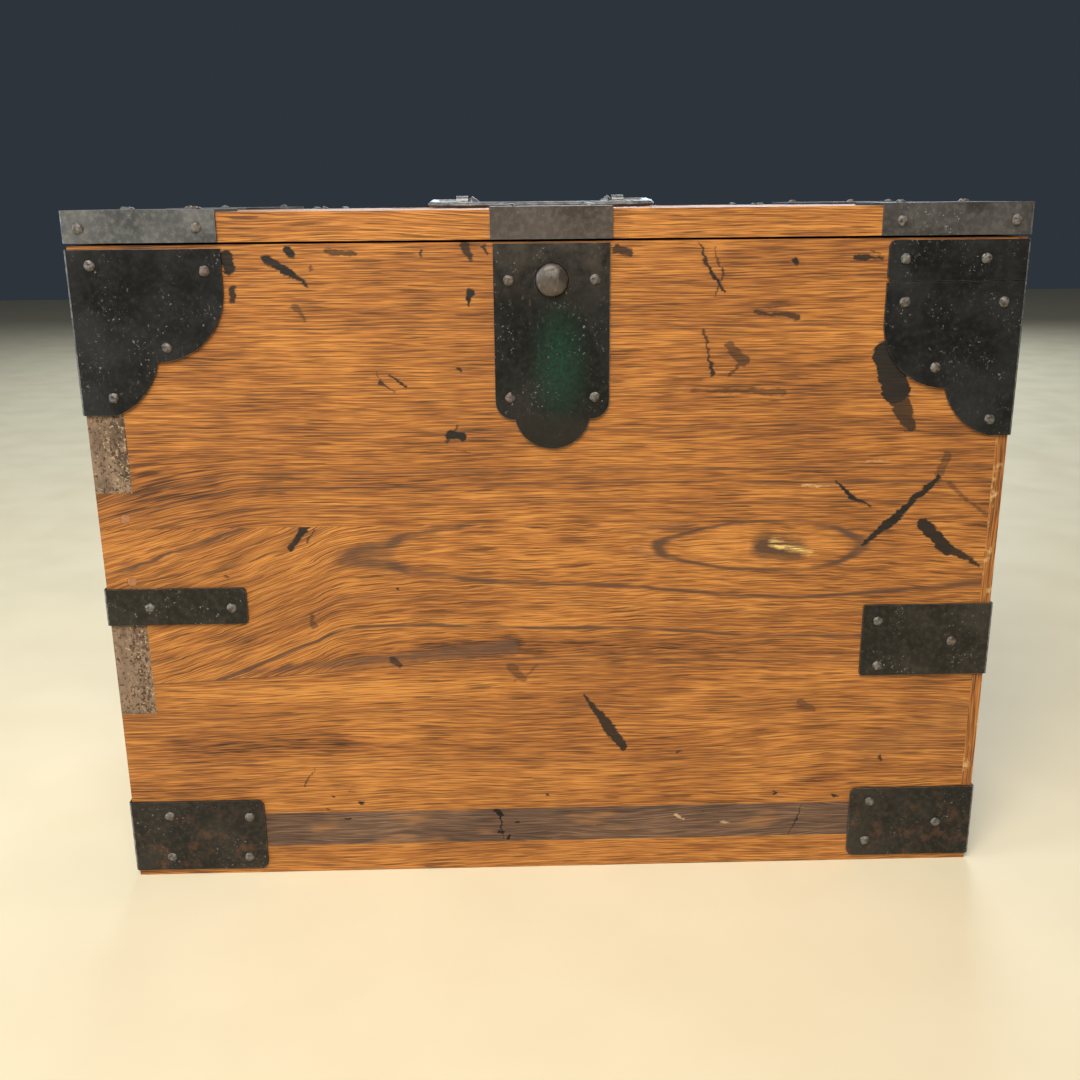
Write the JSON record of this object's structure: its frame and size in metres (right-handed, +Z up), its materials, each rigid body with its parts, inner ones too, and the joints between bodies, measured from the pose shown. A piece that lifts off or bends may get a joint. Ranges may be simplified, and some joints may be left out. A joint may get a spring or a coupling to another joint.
{
  "type": "wooden money box",
  "caption": "Iron-bound wooden money box with a hinged lid, a sunk coin hopper with a slot, a bail handle on the lid and a push-stud spring catch in the front plate.",
  "frame": {"origin": "middle of the flat underside of the base board", "axes": "+Z up, the lock plate and stud face -Y, the hinges are at +Y, +X is to the right seen from the front"},
  "size_m": [0.4046, 0.2343, 0.3128],
  "materials": {
    "oiled_wood": "open-pored straight-grained wood, orange brown, old oil and wax, satin",
    "dark_wood": "dark brown worn strip, satin",
    "raw_wood": "plain inner wood, matt",
    "peg_wood": "end grain of light hardwood pegs",
    "plate_iron": "black-brown patinated sheet iron, satin, with specks and worn edges",
    "nail_iron": "worn domed nail heads, grey brown",
    "forged_iron": "black forged iron, satin",
    "worked_iron": "filed iron, dull grey"
  },
  "bodies": {
    "box": {"base_board": "oiled_wood", "front_upper_board": "oiled_wood", "front_lower_board": "oiled_wood", "front_bottom_strip": "dark_wood", "back_upper_board": "oiled_wood", "back_lower_board": "oiled_wood", "left_board": "oiled_wood", "right_board": "oiled_wood", "wooden_pegs": "peg_wood", "top_plate_front_left": "plate_iron", "top_plate_front_right": "plate_iron", "top_strap_front_right": "plate_iron", "top_plate_back_left": "plate_iron", "top_plate_back_right": "plate_iron", "middle_strap_front_left": "plate_iron", "middle_plate_front_right": "plate_iron", "middle_strap_back_left": "plate_iron", "middle_strap_back_right": "plate_iron", "bottom_plate_front_left": "plate_iron", "bottom_plate_front_right": "plate_iron", "bottom_plate_back_left": "plate_iron", "bottom_plate_back_right": "plate_iron", "lock_plate": "plate_iron", "front_nails": "nail_iron", "back_nails": "nail_iron", "left_nails": "nail_iron", "right_nails": "nail_iron", "catch_spring": "worked_iron", "catch_block": "raw_wood", "catch_nails": "nail_iron", "hinge_body_leaf_left": "forged_iron", "hinge_body_leaf_right": "forged_iron", "hinge_pin_left": "worked_iron", "hinge_pin_right": "worked_iron", "hinge_nails": "nail_iron"},
    "lid": {"lid_board": "oiled_wood", "hopper_front_board": "raw_wood", "hopper_back_board": "raw_wood", "hopper_left_end": "raw_wood", "hopper_right_end": "raw_wood", "coin_slot_plate": "plate_iron", "slot_plate_nails": "nail_iron", "lid_plate_front_left": "plate_iron", "lid_plate_front_right": "plate_iron", "lid_plate_back_left": "plate_iron", "lid_plate_back_right": "plate_iron", "lid_strap": "plate_iron", "lid_keeper": "worked_iron", "lid_nails": "nail_iron", "handle_post_left": "forged_iron", "handle_post_right": "forged_iron", "hinge_lid_leaf_left": "forged_iron", "hinge_lid_leaf_right": "forged_iron"},
    "handle": {"handle_bail": "forged_iron"},
    "stud": {"push_stud": "forged_iron", "stud_collar": "worked_iron"}
  },
  "joints": [
    {"name": "lid_hinge", "type": "hinge", "parent": "box", "child": "lid", "pos_m": [0, 0.1119, 0.2945], "axis": [-1, 0, 0], "range_deg": [0, 110], "deforming": ["catch_spring"]},
    {"name": "handle_swing", "type": "hinge", "parent": "lid", "child": "handle", "pos_m": [-0.002, 0, 0.3099], "axis": [-1, 0, 0], "range_deg": [0, 180]},
    {"name": "stud_push", "type": "slide", "parent": "box", "child": "stud", "axis": [0, 1, 0], "range_m": [0, 0.003], "stiffness_N_per_m": 1500, "springref_m": -0.001, "deforming": ["catch_spring"]}
  ]
}
